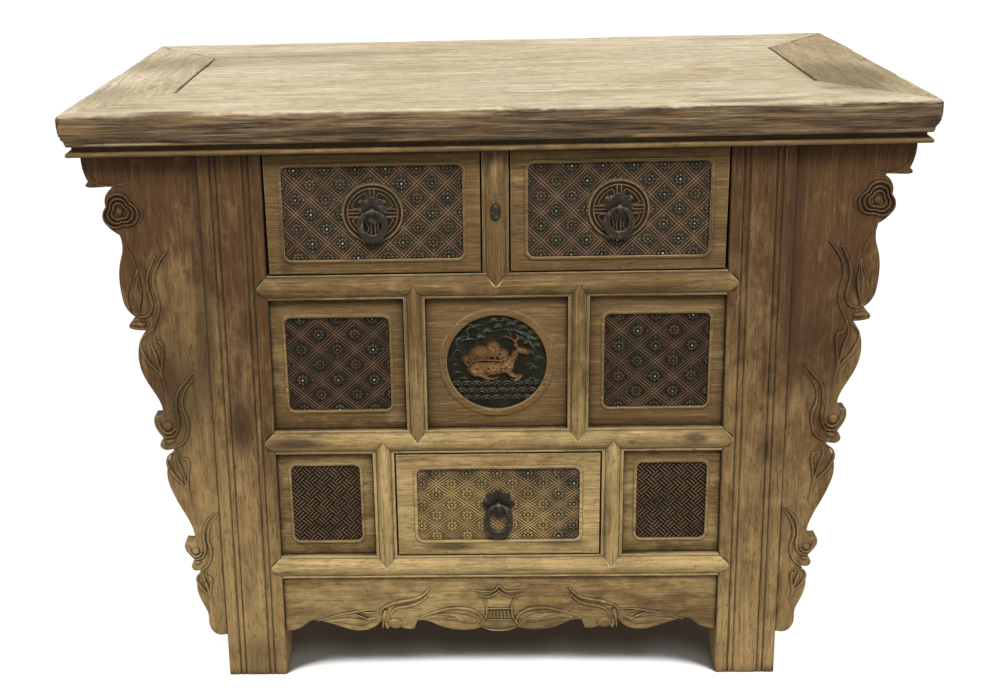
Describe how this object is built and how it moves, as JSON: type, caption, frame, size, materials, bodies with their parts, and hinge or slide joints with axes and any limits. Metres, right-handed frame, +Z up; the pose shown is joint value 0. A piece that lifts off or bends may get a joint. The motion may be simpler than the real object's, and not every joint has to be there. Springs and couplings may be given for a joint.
{
  "type": "kang cabinet",
  "caption": "Low East Asian coffer cabinet with an overhanging framed top, carved wing brackets, fixed carved panels and drawers with ring pulls.",
  "frame": {"origin": "on the floor, at the middle of the footprint of the top", "axes": "+X to the cabinet's right as seen from the front, +Y to the back, +Z up; the front faces -Y"},
  "size_m": [1.06, 0.61, 0.792],
  "materials": {
    "bleached_elm": "old elm, bleached and worn dull, open grain",
    "frame_elm": "old elm, hand planed, rubbed and worn, matt",
    "carved_elm": "old elm, carved in low relief, dark in the ground with traces of colour",
    "inner_wood": "dry unfinished softwood boards",
    "forged_iron": "hand forged iron, dark and rubbed"
  },
  "bodies": {
    "case": {"top_front_rail": "bleached_elm", "top_back_rail": "bleached_elm", "top_left_end": "bleached_elm", "top_right_end": "bleached_elm", "top_panel": "bleached_elm", "under_moulding": "frame_elm", "front_left_leg": "frame_elm", "front_right_leg": "frame_elm", "back_left_leg": "frame_elm", "back_right_leg": "frame_elm", "upper_rail": "frame_elm", "middle_rail": "frame_elm", "lower_rail": "frame_elm", "centre_stile": "frame_elm", "middle_left_stile": "frame_elm", "middle_right_stile": "frame_elm", "lower_left_stile": "frame_elm", "lower_right_stile": "frame_elm", "front_apron": "frame_elm", "side_aprons": "frame_elm", "side_rails": "frame_elm", "back_rails": "frame_elm", "front_left_wing": "frame_elm", "front_right_wing": "frame_elm", "back_wings": "frame_elm", "middle_left_panel": "carved_elm", "middle_right_panel": "carved_elm", "medallion_panel": "carved_elm", "lower_left_panel": "carved_elm", "lower_right_panel": "carved_elm", "top_battens": "inner_wood", "side_panels": "frame_elm", "back_panels": "inner_wood", "case_floor": "inner_wood", "middle_shelf": "inner_wood", "upper_drawer_runners": "inner_wood", "lower_drawer_guides": "inner_wood", "stile_stud": "forged_iron"},
    "left_drawer": {"left_drawer_front": "carved_elm", "left_drawer_sides": "inner_wood", "left_drawer_back": "inner_wood", "left_drawer_bottom": "inner_wood", "left_pull_plate": "forged_iron", "left_pull_post": "forged_iron"},
    "left_ring": {"left_pull_ring": "forged_iron"},
    "right_drawer": {"right_drawer_front": "carved_elm", "right_drawer_sides": "inner_wood", "right_drawer_back": "inner_wood", "right_drawer_bottom": "inner_wood", "right_pull_plate": "forged_iron", "right_pull_post": "forged_iron"},
    "right_ring": {"right_pull_ring": "forged_iron"},
    "lower_drawer": {"lower_drawer_front": "carved_elm", "lower_drawer_sides": "inner_wood", "lower_drawer_back": "inner_wood", "lower_drawer_bottom": "inner_wood", "lower_pull_plate": "forged_iron", "lower_pull_post": "forged_iron"},
    "lower_ring": {"lower_pull_ring": "forged_iron"}
  },
  "joints": [
    {"name": "left_drawer_slide", "type": "slide", "parent": "case", "child": "left_drawer", "axis": [0, -1, 0], "range_m": [0, 0.34]},
    {"name": "left_ring_swing", "type": "hinge", "parent": "left_drawer", "child": "left_ring", "pos_m": [-0.15182, -0.2836, 0.661], "axis": [-1, 0, 0], "range_deg": [-8, 170]},
    {"name": "right_drawer_slide", "type": "slide", "parent": "case", "child": "right_drawer", "axis": [0, -1, 0], "range_m": [0, 0.34]},
    {"name": "right_ring_swing", "type": "hinge", "parent": "right_drawer", "child": "right_ring", "pos_m": [0.15182, -0.2836, 0.661], "axis": [-1, 0, 0], "range_deg": [-8, 170]},
    {"name": "lower_drawer_slide", "type": "slide", "parent": "case", "child": "lower_drawer", "axis": [0, -1, 0], "range_m": [0, 0.34]},
    {"name": "lower_ring_swing", "type": "hinge", "parent": "lower_drawer", "child": "lower_ring", "pos_m": [0, -0.2836, 0.25925], "axis": [-1, 0, 0], "range_deg": [-8, 170]}
  ]
}
